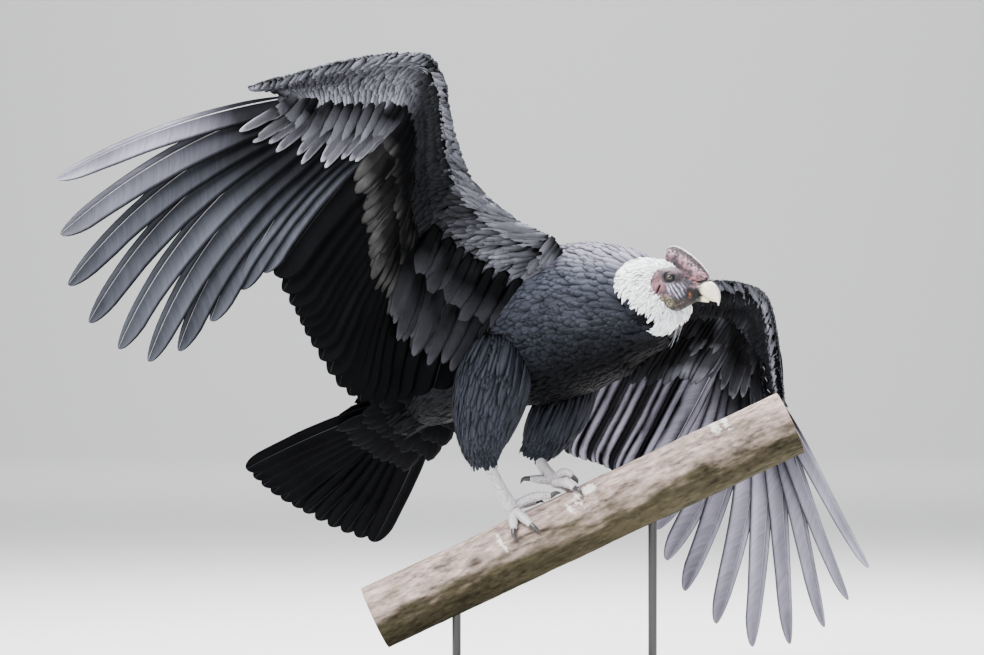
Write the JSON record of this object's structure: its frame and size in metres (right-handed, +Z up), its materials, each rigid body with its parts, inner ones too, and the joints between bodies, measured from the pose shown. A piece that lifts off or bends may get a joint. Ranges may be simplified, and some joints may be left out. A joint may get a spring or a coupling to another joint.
{
  "type": "andean condor model",
  "caption": "Life-size still model of an adult male condor gripping a sloping cut branch, wings open, on a rod and base display stand.",
  "frame": {"origin": "centre of the underside of the stand's base", "axes": "+Z up; +X along the floor in the direction in which the branch rises; the raised right wing lies towards -X and -Y"},
  "size_m": [1.6848, 1.1158, 1.2815],
  "materials": {
    "plumage": "blue-black feathers with a soft sheen",
    "ruff": "white down",
    "skin": "bare pinkish grey skin, folded and warty",
    "comb": "mottled fleshy comb",
    "eye": "wet olive-brown eye",
    "bill": "ivory horn",
    "foot": "pale grey scaled skin",
    "claw": "dark horn",
    "bark": "weathered bark, streaked",
    "stand": "dark satin paint on board",
    "rod": "dark satin paint on steel"
  },
  "bodies": {
    "root": {"bill_lower": "bill", "bill_upper": "bill", "claw_left_hind": "claw", "claw_left_inner": "claw", "claw_left_middle": "claw", "claw_left_outer": "claw", "claw_right_hind": "claw", "claw_right_inner": "claw", "claw_right_middle": "claw", "claw_right_outer": "claw", "comb": "comb", "eye_left": "eye", "eye_right": "eye", "foot_left": "foot", "foot_right": "foot", "head": "skin", "neck": "ruff", "perch_branch": "bark", "stand_base": "stand", "stand_rod_high": "rod", "stand_rod_low": "rod", "tail": "plumage", "thigh_left": "plumage", "thigh_right": "plumage", "torso": "plumage", "wing_left_arm": "plumage", "wing_left_hand": "plumage", "wing_right_arm": "plumage", "wing_right_hand": "plumage"}
  },
  "joints": []
}
